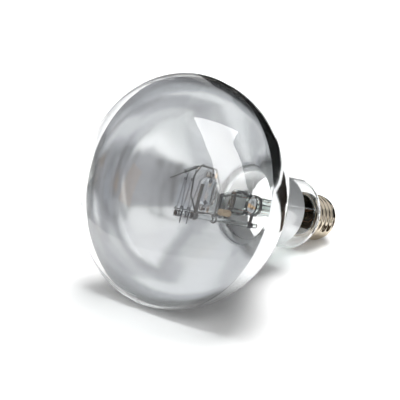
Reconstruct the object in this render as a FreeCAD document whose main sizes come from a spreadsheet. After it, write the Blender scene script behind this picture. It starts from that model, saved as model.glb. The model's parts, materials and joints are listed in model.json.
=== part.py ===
# Self-ballasted mercury vapour reflector lamp, lying on its bowl and the end of its thread.
#
# Every piece is drawn in the lamp's own frame: the origin is the centre of the
# belt, +Z runs along the axis towards the cap, +X is the side that lies down
# and Y is level. The last step lays the whole lamp down on the plane z = 0.

import FreeCAD, Part
import math
import os
import Sketcher
from FreeCAD import Placement, Rotation, Vector

SIZES = {
    # gaps between pieces that touch, and between welded wires
    "fit_gap": 0.05,
    "weld_gap": 0.02,
    # blown bulb
    "belt_radius": 63.0,
    "dome_radius": 85.0,
    "shoulder_radius": 15.2,
    "bowl_radius": 45.0,
    "cone_angle": 42.0,
    "neck_fillet": 14.0,
    "neck_radius": 20.4,
    "neck_end": 104.0,
    "neck_shoulder": 7.0,
    "throat_fillet": 3.0,
    "throat_radius": 11.3,
    "glass_wall": 1.2,
    # mirror film inside the bowl and the neck
    "film_gap": 0.05,
    "film_thickness": 0.12,
    "film_front": 0.3,
    "film_bare": 13.0,
    # screw cap
    "thread_crest": 13.1,
    "thread_root": 12.1,
    "thread_pitch": 3.629,
    "thread_turns": 5.0,
    "shell_sheet": 0.3,
    "rim_lap": 1.66,
    "cap_overlap": 11.7,
    "collar_radius": 13.0,
    "collar_length": 3.0,
    "turn_in": 1.6,
    "turn_in_radius": 9.9,
    "insulator_seat": 3.0,
    "insulator_tip_radius": 5.8,
    "insulator_height": 3.0,
    "contact_radius": 5.2,
    "contact_plate": 0.7,
    "solder_radius": 2.4,
    "solder_height": 0.7,
    "side_solder_ball": 1.7,
    "side_solder_sink": 0.9,
    "side_solder_depth": 1.35,
    "thread_fall": 0.3,
    "insulator_clearance": 0.4,
    "insulator_step": 0.3,
    "insulator_play": 0.1,
    "cement_step": 0.5,
    "cement_recess": 0.4,
    "cement_flow": 1.8,
    # stem
    "stem_radius": 5.5,
    "stem_wall": 1.1,
    "flare_length": 12.0,
    "press_front": 50.0,
    "press_rear": 62.0,
    "press_step": 0.05,
    "press_blend": 6.0,
    "press_half_width": 7.0,
    "press_half_thickness": 2.3,
    "exhaust_radius": 2.0,
    "exhaust_bore": 1.2,
    "exhaust_short": 2.0,
    "flare_rim": 2.0,
    "seal_taper": 1.5,
    "seal_length": 3.0,
    "seal_cone": 1.0,
    "lead_offset": 3.4,
    "lead_joint": 56.0,
    "inner_lead_radius": 0.5,
    "outer_lead_radius": 0.2,
    "near_straight": 1.5,
    "near_spread": 4.5,
    "far_straight": 2.5,
    "far_spread": 6.5,
    "far_shift": 1.0,
    "centre_turn": 6.0,
    "centre_slope": 4.5,
    "side_turn": 0.7,
    "side_bend": 0.25,
    "side_rise": 2.1,
    "side_slope": 0.6,
    "side_lift": 0.75,
    "side_clear": 0.3,
    "side_reach": 0.95,
    "side_lap": 0.9,
    # support rod and its band on the stem
    "rod_offset": 11.2,
    "rod_radius": 1.4,
    "rod_front": 4.0,
    "rod_rear": 80.0,
    "rod_polish": 0.3,
    "band_front": 70.0,
    "band_width": 3.5,
    "band_sheet": 0.4,
    # frame loop
    "loop_radius": 0.5,
    "loop_bend": 2.5,
    "loop_front_foot": 21.0,
    "loop_front": 12.0,
    "loop_rear": 37.8,
    "loop_top": 16.0,
    "loop_knee": 0.6,
    "loop_cheek": 10.0,
    "loop_brow": 4.8,
    "loop_fall": 8.4,
    "loop_slope": 1.4,
    "loop_corner": 4.0,
    "loop_lean": 0.6,
    # arc tube, centred on the axis of the loop
    "arc_place": 27.0,
    "arc_lift": 2.75,
    "arc_radius": 5.0,
    "arc_half_barrel": 3.5,
    "arc_wall": 1.0,
    "pinch_length": 3.2,
    "pinch_width": 5.6,
    "pinch_thickness": 3.0,
    "pinch_root": 1.0,
    "electrode_radius": 0.4,
    "electrode_gap": 9.0,
    "overwind_radius": 0.9,
    "overwind_length": 2.2,
    "electrode_nose": 0.6,
    "foil_width": 2.0,
    "foil_length": 1.5,
    "foil_thickness": 0.2,
    "foil_start": 0.1,
    "foil_shift": 0.6,
    "arc_lead_radius": 0.35,
    "arc_lead_lift": 0.45,
    "lead_bend": 0.6,
    "post_overlap": 0.4,
    "starter_offset": 2.2,
    "starter_radius": 0.2,
    "starter_bend": 3.3,
    "starter_depth": 2.2,
    "starter_lift": 0.3,
    # filament, its post, hooks and bead
    "filament_radius": 0.4,
    "filament_bend": 0.8,
    "filament_foot": 1.0,
    "filament_drop": 0.6,
    "post_front": 17.6,
    "post_width": 2.4,
    "post_sheet": 0.5,
    "post_top": 6.5,
    "hook_radius": 0.25,
    "hook_tail": 3.5,
    "hook_lip": 1.1,
    "hook_bend": 0.4,
    "hook_aside": 0.7,
    "terminal_depth": 1.5,
    "terminal_tail": 2.0,
    "terminal_rise": 0.4,
    "clip_sheet": 0.35,
    "clip_width": 0.9,
    "hook_front": 7.5,
    "hook_rear": 13.5,
    "upper_hook_front": 4.5,
    "upper_hook_rear": 10.5,
    "filament_reach": 8.0,
    "bridge_radius": 0.35,
    "bridge_slope": 22.0,
    "bridge_front": 8.0,
    "bridge_lift": 0.4,
    "bridge_lap": 0.6,
    "bead_radius": 1.2,
    "bead_front": 3.0,
    "bead_rear": 12.0,
    # starting resistor
    "resistor_radius": 1.9,
    "resistor_front": 40.0,
    "resistor_length": 7.5,
    "resistor_offset": 6.6,
    "resistor_tuck": 0.2,
    "resistor_turn": 0.9,
    "resistor_bend": 0.5,
    "link_radius": 0.3,
    "return_weld": 9.0,
    "return_lift": 0.8,
    "return_lap": 0.4,
    "return_end": 5.0,
}

DOC = FreeCAD.newDocument("ReflectorLamp")
SHEET = DOC.addObject("Spreadsheet::Sheet", "Sizes")
for row, (alias, number) in enumerate(SIZES.items(), start=1):
    SHEET.set("A%d" % row, alias)
    SHEET.set("B%d" % row, str(number))
    SHEET.setAlias("B%d" % row, alias)
DOC.recompute()

NODES = []


def size(alias):
    """Value of one cell of the sheet, in millimetres or degrees."""
    return float(getattr(SHEET, alias))


THROAT_REACH = "(Sizes.throat_radius + Sizes.throat_fillet - Sizes.neck_radius + Sizes.neck_shoulder)"
THROAT_START = ("(Sizes.neck_end + sqrt((Sizes.neck_shoulder + Sizes.throat_fillet) ^ 2 - %s ^ 2))"
                % THROAT_REACH)
SHELL_RIM = "(%s - Sizes.rim_lap)" % THROAT_START
THROAT_END = "(%s + Sizes.cap_overlap)" % SHELL_RIM
FILM_END = "(Sizes.neck_end - Sizes.film_bare)"
FLARE_START = "(%s - Sizes.flare_length)" % THROAT_END
EXHAUST_TIP = "(%s - Sizes.exhaust_short)" % THROAT_END
THREAD_END = "(%s + Sizes.collar_length + Sizes.thread_turns * Sizes.thread_pitch)" % SHELL_RIM
CAP_END = "(%s + Sizes.turn_in + Sizes.insulator_height)" % THREAD_END
PRESS_END = "(Sizes.press_rear + Sizes.press_blend)"


def throat_reach():
    """Step across the axis from the centre of the neck's shoulder to that of the throat's fillet."""
    return size("throat_radius") + size("throat_fillet") - size("neck_radius") + size("neck_shoulder")


def throat_start():
    """Depth where the throat becomes straight."""
    span = size("neck_shoulder") + size("throat_fillet")
    return size("neck_end") + math.sqrt(span ** 2 - throat_reach() ** 2)


def shell_rim():
    """Depth of the front edge of the screw shell."""
    return throat_start() - size("rim_lap")


def throat_end():
    """Depth of the open end of the bulb."""
    return shell_rim() + size("cap_overlap")


def thread_end():
    """Depth where the thread runs out."""
    return shell_rim() + size("collar_length") + size("thread_turns") * size("thread_pitch")


def cap_end():
    """Depth of the face of the insulator that carries the contact plate."""
    return thread_end() + size("turn_in") + size("insulator_height")


def keep(piece, own_place=None):
    """Lists a finished piece as a node, with its place in the lamp's frame."""
    piece.Label = piece.Name
    NODES.append((piece, own_place or Placement()))
    return piece


def bind(piece, **rules):
    """Ties properties of a piece to expressions over the sheet."""
    for name, rule in rules.items():
        piece.setExpression(name.replace("__", "."), rule)
    return piece


# Sketch helpers

def origin_plane(body, role):
    return next(f for f in body.Origin.OriginFeatures if f.Role == role)


def new_sketch(body, name, role, lift=None):
    sketch = body.newObject("Sketcher::SketchObject", name)
    sketch.AttachmentSupport = [(origin_plane(body, role), "")]
    sketch.MapMode = "FlatFace"
    if lift:
        sketch.setExpression("AttachmentOffset.Base.z", lift)
    return sketch


def name_size(sketch, constraint, name, rule):
    """Adds a dimension, names it and ties it to the sheet."""
    index = sketch.addConstraint(constraint)
    sketch.renameConstraint(index, name)
    sketch.setExpression("Constraints." + name, rule)


def polygon(sketch, corners):
    """Closed outline whose corners are (name, across, along, rule, rule)."""
    points = [Vector(c[1], c[2], 0) for c in corners]
    count = len(points)
    for i in range(count):
        sketch.addGeometry(Part.LineSegment(points[i], points[(i + 1) % count]), False)
    for i in range(count):
        sketch.addConstraint(Sketcher.Constraint("Coincident", i, 2, (i + 1) % count, 1))
    for i, (name, across, along, across_rule, along_rule) in enumerate(corners):
        if across_rule == "0":
            sketch.addConstraint(Sketcher.Constraint("PointOnObject", i, 1, -2))
        else:
            name_size(sketch, Sketcher.Constraint("DistanceX", -1, 1, i, 1, across),
                      name + "_r", across_rule)
        name_size(sketch, Sketcher.Constraint("DistanceY", -1, 1, i, 1, along),
                  name + "_z", along_rule)


def turned(name, corners):
    """Body turned about the lamp's axis from an outline in its XZ plane."""
    body = DOC.addObject("PartDesign::Body", name)
    sketch = new_sketch(body, name + "_outline", "XZ_Plane")
    polygon(sketch, corners)
    spin(body, "PartDesign::Revolution", name + "_turned", sketch)
    return body


def spin(body, kind, name, sketch):
    feature = body.newObject(kind, name)
    feature.Profile = sketch
    feature.ReferenceAxis = (sketch, ["V_Axis"])
    feature.Angle = 360.0
    return feature


# Bulb outline, shared by the glass and by the mirror film inside it

def bulb_outline(sketch, inset, inset_rule):
    """Half section of the bulb, moved inwards by the inset."""
    belt, dome = size("belt_radius"), size("dome_radius")
    side, bowl = size("shoulder_radius"), size("bowl_radius")
    lean = math.radians(size("cone_angle"))
    fillet, neck, neck_end = size("neck_fillet"), size("neck_radius"), size("neck_end")
    drop, flow = size("neck_shoulder"), size("throat_fillet")
    throat, end = size("throat_radius"), throat_end()

    dome_centre = math.sqrt((dome - side) ** 2 - (belt - side) ** 2)
    turn = math.atan2(dome_centre, belt - side)
    fillet_centre = ((bowl + fillet) - (neck + fillet - belt + bowl) * math.cos(lean)) / math.sin(lean)
    throat_centre = throat_start()
    tip = math.atan2(throat_centre - neck_end, throat_reach())

    def arc(across, along, radius, start, end):
        circle = Part.Circle(Vector(across, along, 0), Vector(0, 0, 1), radius)
        return sketch.addGeometry(Part.ArcOfCircle(circle, start, end), False)

    def line(x_a, z_a, x_b, z_b):
        return sketch.addGeometry(Part.LineSegment(Vector(x_a, z_a, 0), Vector(x_b, z_b, 0)), False)

    half = math.pi / 2
    g_dome = arc(0, dome_centre, dome - inset, -half, -turn)
    g_side = arc(belt - side, 0, side - inset, -turn, 0)
    g_bowl = arc(belt - bowl, 0, bowl - inset, 0, lean)
    lean_x, lean_z = math.cos(lean), math.sin(lean)
    g_cone = line(belt - bowl + (bowl - inset) * lean_x, (bowl - inset) * lean_z,
                  neck + fillet - (fillet + inset) * lean_x, fillet_centre - (fillet + inset) * lean_z)
    g_fillet = arc(neck + fillet, fillet_centre, fillet + inset, math.pi, math.pi + lean)
    g_neck = line(neck - inset, fillet_centre, neck - inset, neck_end)
    g_drop = arc(neck - drop, neck_end, drop - inset, 0, tip)
    g_flow = arc(throat + flow, throat_centre, flow + inset, math.pi, math.pi + tip)
    g_throat = line(throat - inset, throat_centre, throat - inset, end)
    g_end = line(throat - inset, end, 0, end)
    g_axis = line(0, end, 0, dome_centre - dome + inset)

    meets = [(g_dome, 2, g_side, 1), (g_side, 2, g_bowl, 1), (g_bowl, 2, g_cone, 1),
             (g_cone, 2, g_fillet, 2), (g_fillet, 1, g_neck, 1), (g_neck, 2, g_drop, 1),
             (g_drop, 2, g_flow, 2), (g_flow, 1, g_throat, 1)]
    for first, first_end, second, second_end in meets:
        sketch.addConstraint(Sketcher.Constraint("Tangent", first, first_end, second, second_end))
    for first, first_end, second, second_end in [
            (g_throat, 2, g_end, 1), (g_end, 2, g_axis, 1), (g_axis, 2, g_dome, 1)]:
        sketch.addConstraint(Sketcher.Constraint("Coincident", first, first_end, second, second_end))
    for edge, point, axis in [(g_dome, 3, -2), (g_axis, 1, -2), (g_axis, 2, -2),
                              (g_side, 3, -1), (g_side, 2, -1)]:
        sketch.addConstraint(Sketcher.Constraint("PointOnObject", edge, point, axis))
    for edge in (g_neck, g_throat):
        sketch.addConstraint(Sketcher.Constraint("Vertical", edge))
    sketch.addConstraint(Sketcher.Constraint("Horizontal", g_end))

    outward, inward = " - " + inset_rule, " + " + inset_rule
    for edge, name, sign, radius in [
            (g_dome, "dome_radius", outward, dome - inset),
            (g_side, "shoulder_radius", outward, side - inset),
            (g_bowl, "bowl_radius", outward, bowl - inset),
            (g_fillet, "neck_fillet", inward, fillet + inset),
            (g_drop, "neck_shoulder", outward, drop - inset),
            (g_flow, "throat_fillet", inward, flow + inset)]:
        name_size(sketch, Sketcher.Constraint("Radius", edge, radius), name, "Sizes." + name + sign)
    for edge, point, name, across in [
            (g_side, 2, "belt_radius", belt - inset),
            (g_neck, 1, "neck_radius", neck - inset),
            (g_throat, 1, "throat_radius", throat - inset)]:
        name_size(sketch, Sketcher.Constraint("DistanceX", -1, 1, edge, point, across),
                  name, "Sizes." + name + outward)
    for edge, name, along, rule in [(g_neck, "neck_end", neck_end, "Sizes.neck_end"),
                                    (g_throat, "throat_end", end, THROAT_END)]:
        name_size(sketch, Sketcher.Constraint("DistanceY", -1, 1, edge, 2, along), name, rule)
    name_size(sketch, Sketcher.Constraint("Angle", g_cone, math.radians(90) + lean),
              "cone_angle", "90 deg + Sizes.cone_angle * 1 deg")


def blown_shell(name, outer, outer_rule, inner, inner_rule):
    """Even wall between two insets of the bulb outline."""
    body = DOC.addObject("PartDesign::Body", name)
    outside = new_sketch(body, name + "_outside", "XZ_Plane")
    bulb_outline(outside, outer, outer_rule)
    spin(body, "PartDesign::Revolution", name + "_blown", outside)
    inside = new_sketch(body, name + "_inside", "XZ_Plane")
    bulb_outline(inside, inner, inner_rule)
    spin(body, "PartDesign::Groove", name + "_hollow", inside)
    return body


def make_glass():
    return keep(blown_shell("glass_envelope", 0.0, "0", size("glass_wall"), "Sizes.glass_wall"))


def make_film():
    """Mirror film from the belt to near the end of the neck."""
    near = size("glass_wall") + size("film_gap")
    near_rule = "(Sizes.glass_wall + Sizes.film_gap)"
    far_rule = "(Sizes.glass_wall + Sizes.film_gap + Sizes.film_thickness)"
    whole = blown_shell("film_whole", near, near_rule, near + size("film_thickness"), far_rule)
    band = DOC.addObject("Part::Cylinder", "film_band")
    bind(band, Radius="Sizes.belt_radius", Height=FILM_END + " - Sizes.film_front",
         Placement__Base__z="Sizes.film_front")
    film = DOC.addObject("Part::Common", "reflector_coating")
    film.Base = whole
    film.Tool = band
    return keep(film)


# Wires: a round section swept along straight runs joined by tangent arcs

def rounded_path(points, bend):
    edges = []
    start = points[0]
    for before, corner, after in zip(points, points[1:], points[2:]):
        back = (before - corner).normalize()
        ahead = (after - corner).normalize()
        half = back.getAngle(ahead) / 2
        cut = bend / math.tan(half)
        middle = corner + (back + ahead).normalize() * (bend / math.sin(half) - bend)
        edges.append(Part.LineSegment(start, corner + back * cut).toShape())
        edges.append(Part.Arc(corner + back * cut, middle, corner + ahead * cut).toShape())
        start = corner + ahead * cut
    edges.append(Part.LineSegment(start, points[-1]).toShape())
    return Part.Wire(edges)


def swept_wire(name, points, radius_alias, bend=1.0):
    path = DOC.addObject("Part::Feature", name + "_path")
    path.Shape = rounded_path(points, bend)
    section = DOC.addObject("Part::Circle", name + "_section")
    section.Placement = Placement(points[0], Rotation(Vector(0, 0, 1), points[1] - points[0]))
    bind(section, Radius="Sizes." + radius_alias)
    wire = DOC.addObject("Part::Sweep", name)
    wire.Sections = [section]
    wire.Spine = (path, ["Edge%d" % (i + 1) for i in range(len(path.Shape.Edges))])
    wire.Solid = True
    wire.Frenet = False
    return wire


def straight_wire(name, start, end, radius_alias):
    """Straight round wire between two points."""
    wire = DOC.addObject("Part::Cylinder", name)
    bind(wire, Radius="Sizes." + radius_alias)
    wire.Height = (end - start).Length
    wire.Placement = Placement(start, Rotation(Vector(0, 0, 1), end - start))
    return wire


def fused(name, pieces):
    joined = DOC.addObject("Part::MultiFuse", name)
    joined.Shapes = pieces
    return joined


def sealed_round(name, base, tools):
    """The base with a tight hole for each wire sealed into it."""
    result = DOC.addObject("Part::Cut", name)
    result.Base = base
    result.Tool = tools[0] if len(tools) == 1 else fused(name + "_holes", tools)
    return result


# Stem: flare, tube and flat press, with the exhaust tube inside

def make_leads():
    """Thick inner leads and thin outer leads, end to end inside the press."""
    aside, joint, front = size("lead_offset"), size("lead_joint"), size("press_front")
    level = return_level() - size("inner_lead_radius") - size("link_radius")
    inner_near = swept_wire("inner_lead_near", [
        Vector(aside, 0, joint), Vector(aside, 0, front - size("near_straight")),
        Vector(level, return_side(), front - size("near_spread")),
        Vector(level, return_side(), front - size("return_weld"))], "inner_lead_radius")
    inward = size("far_shift") - aside
    inner_far = swept_wire("inner_lead_far", [
        Vector(-aside, 0, joint), Vector(-aside, 0, front - size("far_straight")),
        Vector(inward, 0, front - size("far_spread")),
        Vector(inward, 0, size("loop_rear") + size("loop_radius") + size("weld_gap"))], "inner_lead_radius")
    crossing = thread_end() - size("insulator_seat") - size("centre_turn")
    centre = swept_wire("outer_lead_centre", [
        Vector(aside, 0, joint), Vector(aside, 0, crossing), Vector(0, 0, crossing + size("centre_slope")),
        Vector(0, 0, cap_end() + size("contact_plate") / 2)], "outer_lead_radius")
    return [keep(w) for w in (inner_near, inner_far, centre, side_lead())]


def side_lead():
    """Thin lead that leaves by the throat, runs back beside it and turns over the shell's rim."""
    aside, thin, rim = size("lead_offset"), size("outer_lead_radius"), shell_rim()
    beside = size("throat_radius") + thin + size("weld_gap")
    outside = size("collar_radius") + thin + size("fit_gap")
    below, clear = throat_end() + size("side_turn"), rim - size("side_clear")
    return swept_wire("outer_lead_side", [
        Vector(-aside, 0, size("lead_joint")), Vector(-aside, 0, below), Vector(0, beside, below),
        Vector(0, beside, rim + size("side_rise")),
        Vector(0, beside + size("side_lift"), rim + size("side_slope")),
        Vector(0, beside + size("side_reach"), clear), Vector(0, outside, clear),
        Vector(0, outside, rim + size("side_lap"))], "outer_lead_radius", size("side_bend"))


def return_side():
    """Level of the return wire beside the front terminal."""
    return terminal_side() + size("hook_radius") + size("link_radius")


def return_level():
    """Height of the return wire above the rod."""
    return size("rod_offset") - size("rod_radius") - size("return_lift")


def make_stem(leads):
    body = DOC.addObject("PartDesign::Body", "stem_body")
    tube, wall = size("stem_radius"), size("stem_wall")
    blend = size("press_rear") + size("press_blend")
    end = throat_end()
    flare, rim = end - size("flare_length"), end - size("flare_rim")
    mouth = size("throat_radius") - size("glass_wall")
    mouth_rule = "Sizes.throat_radius - Sizes.glass_wall"
    rim_rule = THROAT_END + " - Sizes.flare_rim"
    outside = new_sketch(body, "stem_outside", "XZ_Plane")
    polygon(outside, [
        ("axis_top", 0, blend, "0", PRESS_END),
        ("tube_top", tube, blend, "Sizes.stem_radius", PRESS_END),
        ("flare_top", tube, flare, "Sizes.stem_radius", FLARE_START),
        ("flare_low", mouth, rim, mouth_rule, rim_rule),
        ("mouth", mouth, end, mouth_rule, THROAT_END),
        ("axis_low", 0, end, "0", THROAT_END)])
    spin(body, "PartDesign::Revolution", "stem_turned", outside)
    ellipse_top = press_ellipse(body, "press_top", PRESS_END, False)
    ellipse_low = press_ellipse(body, "press_low", "Sizes.press_rear", True)
    loft = body.newObject("PartDesign::AdditiveLoft", "press_shoulder")
    loft.Profile = ellipse_top
    loft.Sections = [ellipse_low]
    press = body.newObject("PartDesign::Pad", "press_flat")
    press.Profile = ellipse_low
    press.Reversed = True
    bind(press, Length="Sizes.press_rear - Sizes.press_front")
    inside = new_sketch(body, "stem_inside", "XZ_Plane")
    polygon(inside, [
        ("axis_top", 0, blend, "0", PRESS_END),
        ("tube_top", tube - wall, blend, "Sizes.stem_radius - Sizes.stem_wall", PRESS_END),
        ("flare_top", tube - wall, flare, "Sizes.stem_radius - Sizes.stem_wall", FLARE_START),
        ("flare_low", mouth - wall, rim, mouth_rule + " - Sizes.stem_wall", rim_rule),
        ("mouth", mouth - wall, end, mouth_rule + " - Sizes.stem_wall", THROAT_END),
        ("axis_low", 0, end, "0", THROAT_END)])
    spin(body, "PartDesign::Groove", "stem_hollow", inside)
    return keep(sealed_round("stem_glass", body, leads))


def press_ellipse(body, name, lift, flat):
    """Round section of the tube, or the flat section of the press."""
    sketch = new_sketch(body, name, "XY_Plane", lift)
    if flat:
        major, minor = size("press_half_width"), size("press_half_thickness")
        major_rule, minor_rule = "Sizes.press_half_width", "Sizes.press_half_thickness"
    else:
        major, minor = size("stem_radius") - size("press_step"), size("stem_radius") - 2 * size("press_step")
        major_rule = "Sizes.stem_radius - Sizes.press_step"
        minor_rule = "Sizes.stem_radius - 2 * Sizes.press_step"
    sketch.addGeometry(Part.Ellipse(Vector(0, 0, 0), major, minor), False)
    sketch.exposeInternalGeometry(0)
    sketch.addConstraint(Sketcher.Constraint("Coincident", 0, 3, -1, 1))
    sketch.addConstraint(Sketcher.Constraint("Horizontal", 1))
    for axis, word, half, rule in ((1, "width", major, major_rule), (2, "depth", minor, minor_rule)):
        name_size(sketch, Sketcher.Constraint("Distance", axis, 1, axis, 2, 2 * half), word,
                  "2 * (" + rule + ")")
    return sketch


def make_exhaust():
    """Exhaust tube sealed at its outer tip."""
    radius, bore = size("exhaust_radius"), size("exhaust_bore")
    top, tip = size("press_rear") + size("press_blend"), throat_end() - size("exhaust_short")
    taper, seal, cone = size("seal_taper"), size("seal_length"), size("seal_cone")
    seal_rule = EXHAUST_TIP + " - Sizes.seal_length"
    return keep(turned("exhaust_tube", [
        ("bore_top", bore, top, "Sizes.exhaust_bore", PRESS_END),
        ("top", radius, top, "Sizes.exhaust_radius", PRESS_END),
        ("low", radius, tip - taper, "Sizes.exhaust_radius", EXHAUST_TIP + " - Sizes.seal_taper"),
        ("tip", 0, tip, "0", EXHAUST_TIP),
        ("seal", 0, tip - seal, "0", seal_rule),
        ("bore_low", bore, tip - seal - cone, "Sizes.exhaust_bore", seal_rule + " - Sizes.seal_cone")]))


# Support rod, the band that ties it to the stem, and the frame loop

def beside_axis():
    return Placement(Vector(size("rod_offset"), 0, 0), Rotation())


def make_rod():
    radius, front, rear = size("rod_radius"), size("rod_front"), size("rod_rear")
    polish = size("rod_polish")
    edge_rule = "Sizes.rod_radius - Sizes.rod_polish"
    rod = turned("support_rod", [
        ("front", 0, front, "0", "Sizes.rod_front"),
        ("front_edge", radius - polish, front, edge_rule, "Sizes.rod_front"),
        ("front_side", radius, front + polish, "Sizes.rod_radius", "Sizes.rod_front + Sizes.rod_polish"),
        ("rear_side", radius, rear - polish, "Sizes.rod_radius", "Sizes.rod_rear - Sizes.rod_polish"),
        ("rear_edge", radius - polish, rear, edge_rule, "Sizes.rod_rear"),
        ("rear", 0, rear, "0", "Sizes.rod_rear")])
    return keep(rod, beside_axis())


def ring(name, inner_rule, outer_rule, width_rule, low_rule, across_rule="0"):
    """Short tube about an axis parallel to the lamp's axis."""
    parts = []
    for suffix, radius_rule in (("_outer", outer_rule), ("_bore", inner_rule)):
        part = DOC.addObject("Part::Cylinder", name + suffix)
        bind(part, Radius=radius_rule, Height=width_rule,
             Placement__Base__x=across_rule, Placement__Base__z=low_rule)
        parts.append(part)
    tube = DOC.addObject("Part::Cut", name)
    tube.Base, tube.Tool = parts
    return tube


def make_band():
    """Sheet band round the stem tube with an eye round the rod."""
    stem_eye = ring("band_stem_eye", "Sizes.stem_radius", "Sizes.stem_radius + Sizes.band_sheet",
                    "Sizes.band_width", "Sizes.band_front")
    rod_eye = ring("band_rod_eye", "Sizes.rod_radius", "Sizes.rod_radius + Sizes.band_sheet",
                   "Sizes.band_width", "Sizes.band_front", "Sizes.rod_offset")
    arm = DOC.addObject("Part::Box", "band_arm")
    bind(arm, Width="Sizes.band_sheet", Height="Sizes.band_width",
         Length="Sizes.rod_offset - Sizes.stem_radius - Sizes.rod_radius - Sizes.band_sheet",
         Placement__Base__x="Sizes.stem_radius + Sizes.band_sheet / 2",
         Placement__Base__y="-Sizes.band_sheet / 2", Placement__Base__z="Sizes.band_front")
    return keep(fused("stem_band", [stem_eye, arm, rod_eye]))


def rod_wrap(name, wire_alias, along_rule):
    """Wire ring bent round the rod."""
    wrap = DOC.addObject("Part::Torus", name)
    bind(wrap, Radius1="Sizes.rod_radius + Sizes." + wire_alias, Radius2="Sizes." + wire_alias,
         Placement__Base__x="Sizes.rod_offset", Placement__Base__z=along_rule)
    return wrap


def rod_clip(name, along_rule):
    """Narrow strip bent round the rod to hold a hook wire."""
    return ring(name, "Sizes.rod_radius", "Sizes.rod_radius + Sizes.clip_sheet", "Sizes.clip_width",
                along_rule + " - Sizes.clip_width / 2", "Sizes.rod_offset")


def make_loop():
    """Frame loop bent from one wire, with both feet wrapped round the rod."""
    foot = size("rod_offset") - size("rod_radius") - size("loop_radius")
    front, rear, top = size("loop_front"), size("loop_rear"), size("loop_top")
    wire = swept_wire("loop_wire", [
        Vector(foot, 0, size("loop_front_foot")),
        Vector(size("loop_knee"), 0, front + size("loop_slope")),
        Vector(-size("loop_cheek"), 0, front), Vector(-top, 0, front + size("loop_corner")),
        Vector(size("loop_lean") - top, 0, rear - size("loop_fall")),
        Vector(-size("loop_brow"), 0, rear), Vector(foot, 0, rear),
    ], "loop_radius", size("loop_bend"))
    feet = [rod_wrap("loop_foot_front", "loop_radius", "Sizes.loop_front_foot"),
            rod_wrap("loop_foot_rear", "loop_radius", "Sizes.loop_rear")]
    return keep(fused("frame_loop", [wire] + feet))


# Arc tube: quartz barrel with a flat pinch at each end, standing in the loop

def arc_spot(along, sideways=0.0):
    """Point on the arc tube: along its own axis upwards, sideways along the lamp."""
    return Vector(-size("arc_lift") - along, 0, size("arc_place") + sideways)


def barrel_outline(sketch, wall, wall_rule):
    """Half section of the barrel: straight side and two round ends."""
    radius, half = size("arc_radius") - wall, size("arc_half_barrel")
    quarter = math.pi / 2
    low = Part.ArcOfCircle(Part.Circle(Vector(0, -half, 0), Vector(0, 0, 1), radius), -quarter, 0)
    high = Part.ArcOfCircle(Part.Circle(Vector(0, half, 0), Vector(0, 0, 1), radius), 0, quarter)
    side = Part.LineSegment(Vector(radius, -half, 0), Vector(radius, half, 0))
    axis = Part.LineSegment(Vector(0, half + radius, 0), Vector(0, -half - radius, 0))
    sketch.addGeometry([low, side, high, axis], False)
    sketch.addConstraint([
        Sketcher.Constraint("Tangent", 0, 2, 1, 1), Sketcher.Constraint("Tangent", 1, 2, 2, 1),
        Sketcher.Constraint("Coincident", 2, 2, 3, 1), Sketcher.Constraint("Coincident", 3, 2, 0, 1),
        Sketcher.Constraint("PointOnObject", 0, 3, -2), Sketcher.Constraint("PointOnObject", 2, 3, -2),
        Sketcher.Constraint("PointOnObject", 0, 1, -2), Sketcher.Constraint("Vertical", 1)])
    name_size(sketch, Sketcher.Constraint("Radius", 0, radius), "barrel_radius",
              "Sizes.arc_radius - " + wall_rule)
    name_size(sketch, Sketcher.Constraint("DistanceY", 0, 3, -1, 1, half), "low_half",
              "Sizes.arc_half_barrel")
    name_size(sketch, Sketcher.Constraint("DistanceY", -1, 1, 2, 3, half), "high_half",
              "Sizes.arc_half_barrel")


def pinch_sketch(body, name, lift_rule):
    """Flat section of a pinch, centred on the tube."""
    sketch = new_sketch(body, name, "XY_Plane", lift_rule)
    wide, deep = size("pinch_width") / 2, size("pinch_thickness") / 2
    corners = [Vector(x, y, 0) for x, y in ((-wide, -deep), (wide, -deep), (wide, deep), (-wide, deep))]
    for start, end in zip(corners, corners[1:] + corners[:1]):
        sketch.addGeometry(Part.LineSegment(start, end), False)
    for i in range(4):
        sketch.addConstraint(Sketcher.Constraint("Coincident", i, 2, (i + 1) % 4, 1))
    for i, kind in enumerate(("Horizontal", "Vertical", "Horizontal", "Vertical")):
        sketch.addConstraint(Sketcher.Constraint(kind, i))
    sketch.addConstraint(Sketcher.Constraint("Symmetric", 0, 1, 2, 1, -1, 1))
    name_size(sketch, Sketcher.Constraint("DistanceX", 0, 1, 0, 2, 2 * wide), "width", "Sizes.pinch_width")
    name_size(sketch, Sketcher.Constraint("DistanceY", 1, 1, 1, 2, 2 * deep), "depth",
              "Sizes.pinch_thickness")
    return sketch


def make_quartz():
    """Barrel with its pinches and its hollow, drawn upright about its own centre."""
    body = DOC.addObject("PartDesign::Body", "quartz_body")
    outside = new_sketch(body, "barrel_outside", "XZ_Plane")
    barrel_outline(outside, 0.0, "0")
    spin(body, "PartDesign::Revolution", "barrel_blown", outside)
    root_rule = "Sizes.arc_half_barrel + Sizes.arc_radius - Sizes.arc_wall - Sizes.pinch_root"
    for side, sign in (("top", ""), ("bottom", "-")):
        press = body.newObject("PartDesign::Pad", "pinch_" + side)
        press.Profile = pinch_sketch(body, "pinch_%s_section" % side, sign + "(" + root_rule + ")")
        press.Reversed = side == "bottom"
        bind(press, Length="Sizes.pinch_length + Sizes.arc_wall")
    inside = new_sketch(body, "barrel_inside", "XZ_Plane")
    barrel_outline(inside, size("arc_wall"), "Sizes.arc_wall")
    spin(body, "PartDesign::Groove", "barrel_hollow", inside)
    body.Placement = Placement(arc_spot(0), Rotation(Vector(0, 1, 0), -90))
    return body


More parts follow.
